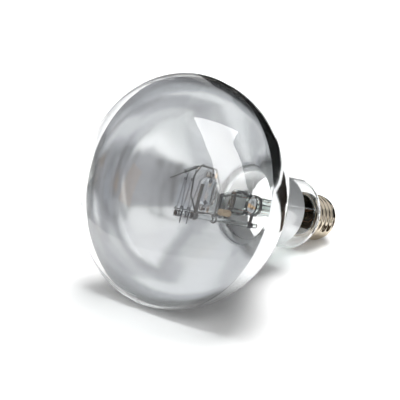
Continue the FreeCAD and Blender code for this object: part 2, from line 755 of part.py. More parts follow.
def electrode(name, sign):
    """Tungsten rod with its overwind, pointing into the barrel."""
    tip = sign * size("electrode_gap") / 2
    root = sign * foil_start()
    shank = straight_wire(name + "_shank", arc_spot(root), arc_spot(tip), "electrode_radius")
    back = tip + sign * size("overwind_length")
    coil = straight_wire(name + "_overwind", arc_spot(back),
                         arc_spot(tip + sign * size("electrode_nose")), "overwind_radius")
    return keep(fused(name, [shank, coil]))


def foil_start():
    """Height on the arc tube where the foils begin."""
    return size("arc_half_barrel") + size("arc_radius") + size("foil_start")


def foil(name, sign, sideways, share=1.0):
    """Thin foil that carries the current through the quartz."""
    sheet = DOC.addObject("Part::Box", name)
    bind(sheet, Length="Sizes.foil_length", Width="Sizes.foil_thickness",
         Height="Sizes.foil_width * %g" % share)
    low = sign * foil_start() + (size("foil_length") if sign > 0 else 0)
    corner = arc_spot(low, sideways - size("foil_width") * share / 2)
    sheet.Placement = Placement(corner - Vector(0, size("foil_thickness") / 2, 0), Rotation())
    return keep(sheet)


def starter_wires(outer, lead_level):
    """Starting electrode, its foil and the wire from it to the starting resistor."""
    side, deep, bend = size("starter_offset"), resistor_depth(), size("starter_bend")
    strip = foil("foil_starter", -1, side, 0.5)
    inside = keep(straight_wire(
        "starter_electrode", arc_spot(-foil_start(), side),
        arc_spot(-size("arc_half_barrel") - size("starter_depth"), side), "starter_radius"))
    start, across = arc_spot(-outer, side), size("resistor_offset")
    lead = keep(swept_wire("starter_lead", [
        start, Vector(lead_level - size("starter_lift"), 0, start.z),
        Vector((lead_level + across) / 2, deep, start.z + bend), Vector(across, deep, start.z + 2 * bend),
        Vector(across, deep, size("resistor_front"))], "starter_radius", size("lead_bend")))
    return [strip, inside, lead]


def make_arc_tube():
    """Arc tube with everything that is sealed into it."""
    outer, shift = foil_start() + size("foil_length"), size("foil_shift")
    loop_side = size("loop_radius") + size("loop_lean") - size("loop_top")
    top = Vector(loop_side - size("weld_gap"), 0, size("arc_place"))
    level = size("rod_offset") - size("rod_radius") - size("arc_lead_radius") - size("arc_lead_lift")
    beside_post = -size("rod_radius") - size("post_sheet") - size("arc_lead_radius")
    low = arc_spot(-outer, -shift)
    wires = [electrode("electrode_top", 1), electrode("electrode_bottom", -1),
             foil("foil_top", 1, 0), foil("foil_bottom", -1, -shift),
             keep(straight_wire("arc_lead_top", arc_spot(outer), top, "arc_lead_radius")),
             keep(swept_wire("arc_lead_bottom", [
                 low, Vector(level, 0, low.z), Vector(level, beside_post, low.z),
                 Vector(level, beside_post, size("post_front") + size("post_overlap"))],
                 "arc_lead_radius", size("lead_bend")))]
    return keep(sealed_round("arc_tube", make_quartz(), wires + starter_wires(outer, level)))


# Filament with its post, hooks, bead and bridge wire

def hook_plane():
    """Level of the filament's turns, beside the frame loop."""
    return -size("loop_radius") - size("bridge_radius")


def make_post():
    """Flat strip that stands on the rod, with an eye round it."""
    eye = ring("post_eye", "Sizes.rod_radius", "Sizes.rod_radius + Sizes.post_sheet",
               "Sizes.post_width", "Sizes.post_front", "Sizes.rod_offset")
    strip = DOC.addObject("Part::Box", "post_strip")
    bind(strip, Length="Sizes.rod_offset + Sizes.post_top", Width="Sizes.post_sheet",
         Height="Sizes.post_width", Placement__Base__x="-Sizes.post_top",
         Placement__Base__y="-Sizes.rod_radius - Sizes.post_sheet",
         Placement__Base__z="Sizes.post_front")
    return keep(fused("filament_post", [eye, strip]))


def bar_level():
    """Height of the hook bar inside a turn of the filament."""
    return size("filament_reach") - size("filament_bend")


def make_rod_hook(name, along_alias):
    """Hook wire that stands beside the rod, with a tail below it."""
    along, deep = size(along_alias), hook_plane()
    side = -terminal_side()
    tail = size("rod_offset") + size("rod_radius") + size("hook_tail")
    far = 2 * deep - side
    wire = swept_wire(name + "_wire", [
        Vector(tail, side, along), Vector(bar_level(), side, along), Vector(bar_level(), far, along),
        Vector(bar_level() + size("hook_lip"), far, along)], "hook_radius", size("hook_bend"))
    return keep(fused(name, [wire, rod_clip(name + "_clip", "Sizes." + along_alias)]))


def bridge_level(along):
    """Height of the bridge wire at a depth along the lamp."""
    rise = math.tan(math.radians(size("bridge_slope")))
    corner = size("loop_front") + size("loop_corner")
    return rise * (corner - along) - size("loop_top") - size("bridge_lift")


def bridge_spot(along):
    return Vector(bridge_level(along), hook_plane(), along)


def make_upper_hook(name, along_alias):
    """Hook wire that hangs from the bead."""
    along, deep, aside = size(along_alias), hook_plane(), size("hook_aside")
    return keep(swept_wire(name, [
        Vector(bridge_level(along), deep - aside, along), Vector(-bar_level(), deep - aside, along),
        Vector(-bar_level(), deep + aside, along),
        Vector(-bar_level() - size("hook_lip"), deep + aside, along),
    ], "hook_radius", size("hook_bend")))


def make_bridge():
    """Bridge wire from the loop's corner, the glass bead on it and its hooks."""
    corner = size("loop_front") + size("loop_corner")
    wire = keep(straight_wire("bridge_wire", bridge_spot(corner + size("bridge_lap")),
                              bridge_spot(-size("bridge_front")), "bridge_radius"))
    hooks = [make_upper_hook("upper_hook_front", "upper_hook_front"),
             make_upper_hook("upper_hook_rear", "upper_hook_rear")]
    bead = straight_wire("bead_body", bridge_spot(size("bead_front")), bridge_spot(size("bead_rear")),
                         "bead_radius")
    keep(sealed_round("hook_bead", bead, [wire] + hooks))


def make_filament():
    """Coil of the ballast filament as one round strand of the coil's outer size."""
    reach, bend, deep = size("filament_reach"), size("filament_bend"), hook_plane()
    foot, half_turn = size("filament_foot") - size("post_top"), bend + size("weld_gap")
    start = Vector(foot, -size("rod_radius") - size("post_sheet") / 2,
                   size("post_front") - size("filament_radius"))
    points = [start]
    turns = [("hook_rear", 1), ("upper_hook_rear", -1), ("hook_front", 1), ("upper_hook_front", -1)]
    for alias, side in turns:
        for step in (half_turn, -half_turn):
            points.append(Vector(side * reach, deep, size(alias) + step))
    points.append(Vector(reach + size("filament_drop"),
                         terminal_side() - size("hook_radius") - size("filament_radius"),
                         size("rod_front") + size("terminal_depth")))
    return keep(swept_wire("ballast_filament", points, "filament_radius", bend))


def terminal_side():
    """Distance of a hook wire from the rod's axis, just clear of the rod."""
    return size("rod_radius") + size("hook_radius") + size("fit_gap")


def make_terminal():
    """Front terminal wrapped on the rod, and the return wire welded to it."""
    side, along = terminal_side(), size("rod_front") + size("terminal_depth")
    upright = straight_wire(
        "front_terminal_post", Vector(size("rod_offset") + size("terminal_tail"), side, along),
        Vector(size("filament_reach") - size("terminal_rise"), side, along), "hook_radius")
    clip = rod_clip("front_terminal_clip", "Sizes.rod_front + Sizes.terminal_depth")
    keep(fused("front_terminal", [upright, clip]))
    keep(straight_wire(
        "return_wire", Vector(return_level(), return_side(), along - size("return_lap")),
        Vector(return_level(), return_side(), size("press_front") - size("return_end")), "link_radius"))


def resistor_depth():
    """Side level of the resistor's axis."""
    return size("resistor_tuck") - size("resistor_radius")


def make_resistor():
    """Starting resistor with its rear wire to the far lead."""
    body = DOC.addObject("Part::Cylinder", "starting_resistor")
    bind(body, Radius="Sizes.resistor_radius", Height="Sizes.resistor_length")
    front = Vector(size("resistor_offset"), resistor_depth(), size("resistor_front"))
    body.Placement = Placement(front, Rotation())
    keep(body)
    rear = front + Vector(0, 0, size("resistor_length"))
    turn = size("press_front") - size("resistor_turn")
    touch = size("inner_lead_radius") + size("starter_radius")
    keep(swept_wire("resistor_wire", [
        rear, Vector(rear.x, rear.y, turn), Vector(-size("lead_offset"), -touch, turn),
    ], "starter_radius", size("resistor_bend")))


# Screw cap: thread shell, insulator, contact, solder and cement

def shell_rows(inset):
    """Rings of the shell from the rim to the turned-in end: depth, radius, wave."""
    rim, collar = shell_rim(), size("collar_radius") - inset
    root, crest = size("thread_root") - inset, size("thread_crest") - inset
    start, end, mouth = rim + size("collar_length"), thread_end(), size("turn_in_radius")
    middle, wave = (root + crest) / 2, (crest - root) / 2
    per_turn = 6
    fade = 0.6 * per_turn
    steps = round(size("thread_turns") * per_turn)
    rows = [(rim + share * size("collar_length"), collar, 0) for share in (0, 0.4, 0.8)]
    for i in range(1, steps):
        fade_in, fade_out = i / fade, min(1.0, (steps - i) / fade)
        level = root + (middle - root) * fade_out
        rows.append((start + (end - start) * i / steps, level, wave * min(fade_in, fade_out)))
    low = end + size("turn_in") - inset
    rows += [(end, root, 0),
             (end + 0.6 * size("turn_in") - inset / 2, root - size("thread_fall"), 0),
             (low, (root + mouth) / 2, 0), (low, mouth - inset / 2, 0)]
    return rows


def wave_surface(inset):
    """Closed smooth surface through the rings, with the thread as a wave on them."""
    pole_count = 24
    wave_swell, pitch = 1.15, size("thread_pitch")
    swell = 3 / (2 + math.cos(2 * math.pi / pole_count))
    rows = shell_rows(inset)
    poles = []
    for j in range(pole_count):
        angle = 2 * math.pi * j / pole_count
        column = []
        for along, radius, wave in rows:
            lift = wave * wave_swell * math.cos(2 * math.pi * along / pitch - angle)
            reach = (radius + lift) * swell
            column.append(Vector(reach * math.cos(angle), reach * math.sin(angle), along))
        poles.append(column)
    spans = len(rows) - 3
    surface = Part.BSplineSurface()
    surface.buildFromPolesMultsKnots(
        poles, [1] * (pole_count + 1), [4] + [1] * (spans - 1) + [4],
        [float(k) for k in range(pole_count + 1)], [float(k) for k in range(spans + 1)],
        True, False, 3, 3)
    return surface


def make_shell():
    """Rolled sheet shell: both faces of the sheet carry the thread."""
    outer, inner = wave_surface(0.0), wave_surface(size("shell_sheet"))
    faces = [outer.toShape(), inner.toShape()]
    for outer_end, inner_end in zip(outer.bounds()[2:], inner.bounds()[2:]):
        edges = outer.vIso(outer_end).toShape(), inner.vIso(inner_end).toShape()
        faces.append(Part.makeRuledSurface(*edges))
    skin = Part.Shell(Part.makeShell(faces).Faces)
    skin.sewShape()
    solid = Part.Solid(skin)
    if solid.Volume < 0:
        solid.reverse()
    shell = DOC.addObject("Part::Feature", "screw_shell")
    shell.Shape = solid
    return keep(shell)


def make_insulator():
    """Black glass plug that closes the shell and carries the contact."""
    end, fall, hole = thread_end(), size("turn_in"), size("outer_lead_radius")
    seat, top = end - size("insulator_step"), end - size("insulator_seat")
    wide = size("thread_root") - size("shell_sheet") - size("insulator_clearance")
    narrow = size("turn_in_radius") - size("shell_sheet") - size("insulator_play")
    wide_rule = "Sizes.thread_root - Sizes.shell_sheet - Sizes.insulator_clearance"
    narrow_rule = "Sizes.turn_in_radius - Sizes.shell_sheet - Sizes.insulator_play"
    hole_rule, top_rule = "Sizes.outer_lead_radius", THREAD_END + " - Sizes.insulator_seat"
    return keep(turned("cap_insulator", [
        ("top", hole, top, hole_rule, top_rule),
        ("top_edge", wide, top, wide_rule, top_rule),
        ("seat", wide, seat, wide_rule, THREAD_END + " - Sizes.insulator_step"),
        ("neck", narrow, end + 0.4 * fall, narrow_rule, THREAD_END + " + 0.4 * Sizes.turn_in"),
        ("lip", narrow, end + fall, narrow_rule, THREAD_END + " + Sizes.turn_in"),
        ("tip", size("insulator_tip_radius"), cap_end(), "Sizes.insulator_tip_radius", CAP_END),
        ("face", hole, cap_end(), hole_rule, CAP_END)]))


def make_contact():
    """Plate of the centre contact, and the solder dome on it."""
    face, plate = cap_end(), size("contact_plate")
    back_rule = CAP_END + " + Sizes.contact_plate"
    keep(turned("centre_contact", [
        ("face_hole", size("outer_lead_radius"), face, "Sizes.outer_lead_radius", CAP_END),
        ("face_edge", size("contact_radius"), face, "Sizes.contact_radius", CAP_END),
        ("side", size("contact_radius"), face + plate / 2, "Sizes.contact_radius",
         CAP_END + " + Sizes.contact_plate / 2"),
        ("bevel", size("contact_radius") - plate / 2, face + plate,
         "Sizes.contact_radius - Sizes.contact_plate / 2", back_rule),
        ("back_hole", size("outer_lead_radius"), face + plate, "Sizes.outer_lead_radius", back_rule)]))
    dome = DOC.addObject("Part::Sphere", "solder_centre")
    ball_rule = "((Sizes.solder_radius ^ 2 + Sizes.solder_height ^ 2) / (2 * Sizes.solder_height))"
    bind(dome, Radius=ball_rule, Angle1="asin((%s - Sizes.solder_height) / %s)" % (ball_rule, ball_rule),
         Placement__Base__z=back_rule + " + Sizes.solder_height - " + ball_rule)
    keep(dome)


def make_side_solder(lead):
    """Solder spot on the collar over the end of the side lead."""
    ball = DOC.addObject("Part::Sphere", "side_solder_ball")
    bind(ball, Radius="Sizes.side_solder_ball",
         Placement__Base__y="Sizes.collar_radius - Sizes.side_solder_sink",
         Placement__Base__z=SHELL_RIM + " + Sizes.side_solder_depth")
    collar = DOC.addObject("Part::Cylinder", "side_solder_collar")
    bind(collar, Radius="Sizes.collar_radius", Height="2 * Sizes.collar_length",
         Placement__Base__z=SHELL_RIM + " - Sizes.collar_length / 2")
    spot = DOC.addObject("Part::Cut", "side_solder_spot")
    spot.Base, spot.Tool = ball, collar
    keep(sealed_round("solder_side", spot, [lead]))


def make_cement(lead):
    """Cement ring between the throat of the bulb and the shell."""
    throat, rim, end = size("throat_radius"), shell_rim(), throat_end()
    around = size("shell_sheet") + size("fit_gap")
    inner, wide = size("thread_root") - around, size("collar_radius") - around
    inner_rule = "Sizes.thread_root - Sizes.shell_sheet - Sizes.fit_gap"
    wide_rule = "Sizes.collar_radius - Sizes.shell_sheet - Sizes.fit_gap"
    front, flow = rim + size("cement_recess"), rim + size("cement_flow")
    front_rule, flow_rule = SHELL_RIM + " + Sizes.cement_recess", SHELL_RIM + " + Sizes.cement_flow"
    body = turned("cement_body", [
        ("throat", throat, end, "Sizes.throat_radius", THROAT_END),
        ("low", inner, end, inner_rule, THROAT_END),
        ("step", inner, rim + size("collar_length"), inner_rule, SHELL_RIM + " + Sizes.collar_length"),
        ("collar", wide, flow, wide_rule, flow_rule),
        ("rim", wide, front, wide_rule, front_rule),
        ("glass", throat + size("cement_step"), front,
         "Sizes.throat_radius + Sizes.cement_step", front_rule),
        ("flow", throat, flow, "Sizes.throat_radius", flow_rule)])
    keep(sealed_round("capping_cement", body, [lead]))


# Laying the lamp down on its bowl and the end of its thread

def lay_down():
    """Tilt and height that bring the bowl and the shell's end to the ground."""
    down = size("belt_radius") - size("bowl_radius") - size("thread_root")
    span = math.hypot(down, thread_end())
    tilt = math.atan2(down, thread_end()) + math.asin(size("bowl_radius") / span)
    height = size("bowl_radius") + (size("belt_radius") - size("bowl_radius")) * math.cos(tilt)
    return Placement(Vector(0, 0, height), Rotation(Vector(0, 1, 0), 90 + math.degrees(tilt)))


def place_all():
    """Lays every node down and centres the lamp over the origin."""
    pose = lay_down()
    before = [(piece, piece.Placement if own.isIdentity() else own) for piece, own in NODES]
    for piece, own in before:
        piece.Placement = pose.multiply(own)
    ends = [DOC.getObject(name).Shape.optimalBoundingBox(False) for name in (
        "glass_envelope", "screw_shell", "cap_insulator", "centre_contact", "solder_centre")]
    middle = (min(box.XMin for box in ends) + max(box.XMax for box in ends)) / 2
    shift = Vector(-middle, 0, -min(box.ZMin for box in ends))
    for piece, own in before:
        piece.Placement = Placement(shift, Rotation()).multiply(pose).multiply(own)


def write_all():
    """Checks every object and writes one file for each node."""
    for item in DOC.Objects:
        if "Invalid" in item.State or "Error" in item.State:
            raise RuntimeError(item.Name + " did not build")
    for piece, _ in NODES:
        if len(piece.Shape.Solids) != 1 or not piece.Shape.isValid() or piece.Shape.Volume <= 0:
            raise RuntimeError(piece.Label + " is not a sound solid")
    os.makedirs("parts", exist_ok=True)
    for piece, _ in NODES:
        piece.Shape.exportStep("parts/%s.step" % piece.Label)
    print("wrote", len(NODES), "pieces")


make_glass()
make_film()
leads = make_leads()
make_stem(leads)
make_exhaust()
make_rod()
make_band()
make_loop()
make_arc_tube()
make_post()
make_rod_hook("rod_hook_front", "hook_front")
make_rod_hook("rod_hook_rear", "hook_rear")
make_bridge()
make_filament()
make_terminal()
make_resistor()
make_shell()
make_insulator()
make_contact()
make_side_solder(leads[3])
make_cement(leads[3])
DOC.recompute()
place_all()
write_all()
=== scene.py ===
"""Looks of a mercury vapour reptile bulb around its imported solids."""

import json
import math

import bpy
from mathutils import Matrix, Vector


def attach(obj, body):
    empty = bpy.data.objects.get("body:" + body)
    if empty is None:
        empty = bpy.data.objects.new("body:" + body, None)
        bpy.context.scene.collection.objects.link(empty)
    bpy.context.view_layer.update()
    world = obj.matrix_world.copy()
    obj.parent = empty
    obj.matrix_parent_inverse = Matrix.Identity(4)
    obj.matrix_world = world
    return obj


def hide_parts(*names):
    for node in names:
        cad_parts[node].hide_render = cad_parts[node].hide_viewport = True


bl_info = {
    "name": "Mercury vapour reptile bulb",
    "version": (1, 0, 0),
    "blender": (4, 5, 0),
    "location": "3D View > Sidebar > Bulb",
    "description": "Finishes, filament coil and studio of a reflector reptile bulb",
    "category": "Object",
}

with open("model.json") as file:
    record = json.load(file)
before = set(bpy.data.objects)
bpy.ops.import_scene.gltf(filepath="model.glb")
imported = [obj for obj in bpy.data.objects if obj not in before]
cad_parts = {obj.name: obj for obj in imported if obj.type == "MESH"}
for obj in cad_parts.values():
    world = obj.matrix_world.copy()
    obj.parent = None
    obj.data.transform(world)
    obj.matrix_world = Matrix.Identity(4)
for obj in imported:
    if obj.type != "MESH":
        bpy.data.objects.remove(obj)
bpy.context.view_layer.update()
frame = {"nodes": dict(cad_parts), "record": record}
NODES = frame["nodes"]
SLOT_OF = {s["node"]: s["material_slot"] for s in frame["record"]["subparts"]}
MM = 0.001

# Places along the lamp's axis, in millimetres behind the belt, which is the bulb's widest ring:
# the middle of the screw thread, the centre of the ball that the dome's middle is part of, and
# where the mirror film starts to turn to satin

THREAD_DEPTH = 124.3725
DOME_CENTRE = 50.865
NECK_START = 66.0

# Length in millimetres over which the film turns, and half angle of the dome's middle, seen
# from the centre of its ball

NECK_FLOW = 10.0
DOME_MIDDLE = math.radians(4.0)

# The lamp's own directions, from the mount of the screw thread

THREAD = next(m for m in frame["record"]["mounts"] if m["name"] == "screw_thread")
AXIS = Vector(THREAD["axis"]).normalized()
DOWN = Vector((AXIS.z, 0.0, -AXIS.x))
SIDE = Vector((0.0, 1.0, 0.0))
BELT = Vector(THREAD["pos_m"]) - AXIS * THREAD_DEPTH * MM


def spot(down, side, depth):
    """Point in millimetres: square to the axis towards the floor, sideways, and behind the belt."""
    return BELT + (DOWN * down + SIDE * side + AXIS * depth) * MM


# Colour and node helpers

def linear(code):
    """sRGB hex colour as a linear colour."""
    values = [int(code[i:i + 2], 16) / 255 for i in (1, 3, 5)]
    return [v / 12.92 if v <= 0.04045 else ((v + 0.055) / 1.055) ** 2.4 for v in values] + [1.0]


def add_node(tree, kind, settings=None, inputs=None):
    """Adds a node, sets its properties, and sets or links its inputs."""
    node = tree.nodes.new(kind)
    for name, value in (settings or {}).items():
        setattr(node, name, value)
    for name, value in (inputs or {}).items():
        if isinstance(value, bpy.types.NodeSocket):
            tree.links.new(value, node.inputs[name])
        else:
            node.inputs[name].default_value = value
    return node


def new_material(name):
    """Empty material and its node tree."""
    material = bpy.data.materials.new(name)
    material.use_nodes = True
    material.node_tree.nodes.clear()
    return material, material.node_tree


def surface(tree, socket):
    """Ends a material in one shader."""
    add_node(tree, "ShaderNodeOutputMaterial", inputs={"Surface": socket})


def fine_bump(tree, width, height):
    """Normal of a fine grain whose width and height are in millimetres."""
    place = add_node(tree, "ShaderNodeTexCoord")
    noise = add_node(tree, "ShaderNodeTexNoise", inputs={
        "Vector": place.outputs["Object"], "Scale": 1 / (width * MM), "Detail": 3.0})
    return add_node(tree, "ShaderNodeBump", inputs={
        "Height": noise.outputs["Fac"], "Strength": 1.0,
        "Distance": height * MM}).outputs["Normal"]


def seen_ray(tree):
    """1 where the camera, a mirror or glass looks, and 0 for light that falls on a surface."""
    path = add_node(tree, "ShaderNodeLightPath")
    sharp = add_node(tree, "ShaderNodeMath", {"operation": "MAXIMUM"}, {
        0: path.outputs["Is Camera Ray"], 1: path.outputs["Is Glossy Ray"]})
    return add_node(tree, "ShaderNodeMath", {"operation": "MAXIMUM"}, {
        0: sharp.outputs["Value"], 1: path.outputs["Is Transmission Ray"]}).outputs["Value"]


def solid_finish(name, inputs, grain=None):
    """Finish of one shader; a grain is a width and a height in millimetres."""
    material, tree = new_material(name)
    shader = add_node(tree, "ShaderNodeBsdfPrincipled", inputs=inputs)
    if grain:
        tree.links.new(fine_bump(tree, *grain), shader.inputs["Normal"])
    surface(tree, shader.outputs["BSDF"])
    return material


def metal(name, colour, roughness, grain=None):
    """Bare or plated metal."""
    return solid_finish(
        name, {"Base Color": colour, "Metallic": 1.0, "Roughness": roughness}, grain)


def opaque(name, colour, roughness, ior, grain=None):
    """Ceramic, cement or dark glass that lets no light through."""
    return solid_finish(name, {"Base Color": colour, "Roughness": roughness, "IOR": ior}, grain)


def mirror_coat(name, colour, bowl_haze, neck_haze):
    """Mirror film that is clear in the bowl and turns to satin where the neck begins."""
    material, tree = new_material(name)
    place = add_node(tree, "ShaderNodeTexCoord")
    depth = add_node(tree, "ShaderNodeVectorMath", {"operation": "DOT_PRODUCT"}, {
        0: place.outputs["Object"], 1: tuple(AXIS)})
    neck = AXIS.dot(spot(0.0, 0.0, NECK_START))
    haze = add_node(tree, "ShaderNodeMapRange", inputs={
        "Value": depth.outputs["Value"], "From Min": neck, "From Max": neck + NECK_FLOW * MM,
        "To Min": bowl_haze, "To Max": neck_haze})
    shader = add_node(tree, "ShaderNodeBsdfPrincipled", inputs={
        "Base Color": colour, "Metallic": 1.0, "Roughness": haze.outputs["Result"]})
    surface(tree, shader.outputs["BSDF"])
    return material


def clear(name, colour, ior, roughness=0.0):
    """Clear glass that lets the light of the lamps through to what it holds."""
    material, tree = new_material(name)
    shader = add_node(tree, "ShaderNodeBsdfPrincipled", inputs={
        "Base Color": colour, "Roughness": roughness, "IOR": ior, "Transmission Weight": 1.0})
    path = add_node(tree, "ShaderNodeLightPath")
    through = add_node(tree, "ShaderNodeBsdfTransparent", inputs={"Color": colour})
    mix = add_node(tree, "ShaderNodeMixShader", inputs={
        "Fac": path.outputs["Is Shadow Ray"], 1: shader.outputs["BSDF"],
        2: through.outputs["BSDF"]})
    surface(tree, mix.outputs["Shader"])
    return material


def blown_glass(name, colour, ior):
    """Clear glass whose dome is shaded as a true ball round its middle, where the facets of the
    solid's mesh meet in one point. The ball's normal points to the side that is looked at."""
    material = clear(name, colour, ior)
    tree = material.node_tree
    place = add_node(tree, "ShaderNodeTexCoord")
    face = add_node(tree, "ShaderNodeNewGeometry")
    arm = add_node(tree, "ShaderNodeVectorMath", {"operation": "SUBTRACT"}, {
        0: place.outputs["Object"], 1: tuple(spot(0.0, 0.0, DOME_CENTRE))})
    ray = add_node(tree, "ShaderNodeVectorMath", {"operation": "NORMALIZE"}, {
        0: arm.outputs["Vector"]})
    facing = add_node(tree, "ShaderNodeVectorMath", {"operation": "DOT_PRODUCT"}, {
        0: ray.outputs["Vector"], 1: face.outputs["True Normal"]})
    sign = add_node(tree, "ShaderNodeMath", {"operation": "SIGN"}, {0: facing.outputs["Value"]})
    ball = add_node(tree, "ShaderNodeVectorMath", {"operation": "SCALE"}, {
        0: ray.outputs["Vector"], "Scale": sign.outputs["Value"]})
    ahead = add_node(tree, "ShaderNodeVectorMath", {"operation": "DOT_PRODUCT"}, {
        0: ray.outputs["Vector"], 1: tuple(-AXIS)})
    middle = add_node(tree, "ShaderNodeMath", {"operation": "GREATER_THAN"}, {
        0: ahead.outputs["Value"], 1: math.cos(DOME_MIDDLE)})
    # The vector sockets of this node: A is input 4, B is input 5, and the result is output 1
    normal = add_node(tree, "ShaderNodeMix", {"data_type": "VECTOR"}, {
        0: middle.outputs["Value"], 4: face.outputs["Normal"], 5: ball.outputs["Vector"]})
    shader = next(n for n in tree.nodes if n.bl_idname == "ShaderNodeBsdfPrincipled")
    tree.links.new(normal.outputs[1], shader.inputs["Normal"])
    return material


# Sizes and colours that a user would change

class BulbFinish(bpy.types.PropertyGroup):
    film_colour: bpy.props.FloatVectorProperty(
        name="Mirror colour", description="Colour of the mirror film", subtype="COLOR",
        size=4, default=linear("#E9EAEB"), min=0.0, max=1.0)
    film_roughness: bpy.props.FloatProperty(
        name="Mirror haze", description="Roughness of the mirror film in the bowl",
        subtype="FACTOR", default=0.14, min=0.0, max=1.0)
    neck_roughness: bpy.props.FloatProperty(
        name="Neck haze", description="Roughness of the thinner mirror film in the neck",
        subtype="FACTOR", default=0.5, min=0.0, max=1.0)
    cap_colour: bpy.props.FloatVectorProperty(
        name="Cap colour", description="Colour of the screw cap's sheet", subtype="COLOR",
        size=4, default=linear("#CBC0AD"), min=0.0, max=1.0)
    cap_roughness: bpy.props.FloatProperty(
        name="Cap haze", description="Roughness of the screw cap's sheet",
        subtype="FACTOR", default=0.05, min=0.0, max=1.0)


class CoilSizes(bpy.types.PropertyGroup):
    coil_radius: bpy.props.FloatProperty(
        name="Coil radius", description="Outer radius of the filament's coil",
        subtype="DISTANCE", default=0.4 * MM, min=0.1 * MM, max=2 * MM)
    wire_radius: bpy.props.FloatProperty(
        name="Wire radius", description="Radius of the tungsten wire",
        subtype="DISTANCE", default=0.05 * MM, min=0.02 * MM, max=0.5 * MM)
    turn_pitch: bpy.props.FloatProperty(
        name="Turn spacing", description="Distance from turn to turn",
        subtype="DISTANCE", default=0.42 * MM, min=0.1 * MM, max=2 * MM)


# Finishes of the solids

def make_materials(finish):
    """One material for each slot of the record."""
    return {
        # Clear and colourless; its skin mirrors the room sharply over what lies inside
        "envelope_glass": blown_glass("soda lime glass, blown", linear("#FCFDFD"), 1.517),
        # Bright mirror, a little hazy in the bowl, and pale satin in the neck
        "mirror_film": mirror_coat(
            "aluminium film, vapour deposited", tuple(finish.film_colour),
            finish.film_roughness, finish.neck_roughness),
        # Faintly green and not quite smooth, so that the press and the flare show their edges
        "stem_glass": clear("lead free stem glass, pressed", linear("#EEF3F1"), 1.54, 0.02),
        # Clear rod with one long line of light
        "rod_glass": clear("glass rod, drawn", linear("#F4F7F6"), 1.5, 0.02),
        # Clearest of the glasses, with thin bright edges at the pinches
        "quartz": clear("fused quartz, pinched", linear("#F6F8FA"), 1.458, 0.01),
        # Mid grey with a soft line of light
        "frame_wire": metal("nickel plated iron wire, drawn", linear("#7C7B7A"), 0.3),
        # Paler and slightly warm beside the frame
        "nickel_wire": metal("nickel wire, drawn", linear("#8F8D8A"), 0.28),
        # Dark and bluish, so that the hooks stand out from the frame
        "hook_wire": metal("molybdenum wire, drawn", linear("#5A5A5D"), 0.35),
        # Darkest and dullest wire
        "tungsten": metal("tungsten, sintered and drawn", linear("#55555A"), 0.4),
        # Thin bright strip inside the quartz
        "foil": metal("molybdenum foil, rolled", linear("#8B8B90"), 0.25),
        # Matt beige body; its grain of 0.4 mm is coarser than a real one, so that it shows
        "resistor_ceramic": opaque(
            "steatite ceramic, fired", linear("#B9A283"), 0.6, 1.6, (0.4, 0.02)),
        # Reddish line inside the neck
        "copper_wire": metal("copper wire, drawn", linear("#C07A58"), 0.3),
        # Warm bright mirror, which the thread breaks into light crests and dark gaps
        "cap_metal": metal(
            "nickel plated brass sheet, rolled", tuple(finish.cap_colour), finish.cap_roughness),
        # Yellow and duller than the shell
        "contact_metal": metal("brass plate, stamped", linear("#B89B5E"), 0.28),
        # Dull bright drop with dents of 0.6 mm from cooling
        "solder": metal("tin solder, melted", linear("#A9AAAD"), 0.33, (0.6, 0.02)),
        # Black and glossy
        "cap_glass": opaque("black cap glass, moulded", linear("#0B0B0D"), 0.12, 1.52),
        # Matt brown filler; its grains of 0.3 mm are coarser than real ones, so that they show
        "cement": opaque("capping cement, baked", linear("#9C8566"), 0.8, 1.5, (0.3, 0.05)),
    }


class BULB_OT_finish_solids(bpy.types.Operator):
    """Gives each solid of the lamp the finish of its slot"""
    bl_idname = "bulb.finish_solids"
    bl_label = "Finish the solids"

    def execute(self, context):
        materials = make_materials(context.scene.bulb_finish)
        for name, node in NODES.items():
            node.data.materials.clear()
            node.data.materials.append(materials[SLOT_OF[name]])
        return {"FINISHED"}


# Ballast filament, in millimetres: it runs from the post up and down between two rows of hooks,
# turns round each hook, and ends at the front terminal

COIL_START = (-9.0, -1.6, 16.4)
COIL_PLANE = -0.9
COIL_REACH = 8.0
COIL_END = (COIL_REACH + 0.6, 1.05, 5.5)

# Depth of each hook, with 1 for the lower row and -1 for the upper row

HOOKS = ((13.5, 1), (10.5, -1), (7.5, 1), (4.5, -1))
HOOK_BEND = 0.8
BEND_SLACK = 0.02

# How finely the coil is drawn

POINTS_PER_TURN = 10
STEPS_PER_BEND = 12


def rounded(points, bend, step):
    """Evenly spaced points along straight runs joined by tangent arcs."""
    dense = [points[0]]
    for before, corner, after in zip(points, points[1:], points[2:]):
        back, ahead = (before - corner).normalized(), (after - corner).normalized()
        half = back.angle(ahead) / 2
        cut = bend / math.tan(half)
        centre = corner + (back + ahead).normalized() * (bend / math.sin(half))
        start, end = corner + back * cut, corner + ahead * cut
        for i in range(STEPS_PER_BEND + 1):
            ray = (start - centre).slerp(end - centre, i / STEPS_PER_BEND)
            dense.append(centre + ray.normalized() * bend)
    dense.append(points[-1])
    lengths = [0.0]
    for a, b in zip(dense, dense[1:]):
        lengths.append(lengths[-1] + (b - a).length)
    count = int(lengths[-1] / step)
    even, j = [], 0
    for i in range(count + 1):
        along = lengths[-1] * i / count
        while j < len(dense) - 2 and lengths[j + 1] < along:
            j += 1
        share = (along - lengths[j]) / max(lengths[j + 1] - lengths[j], 1e-9)
        even.append(dense[j].lerp(dense[j + 1], min(share, 1.0)))
    return even


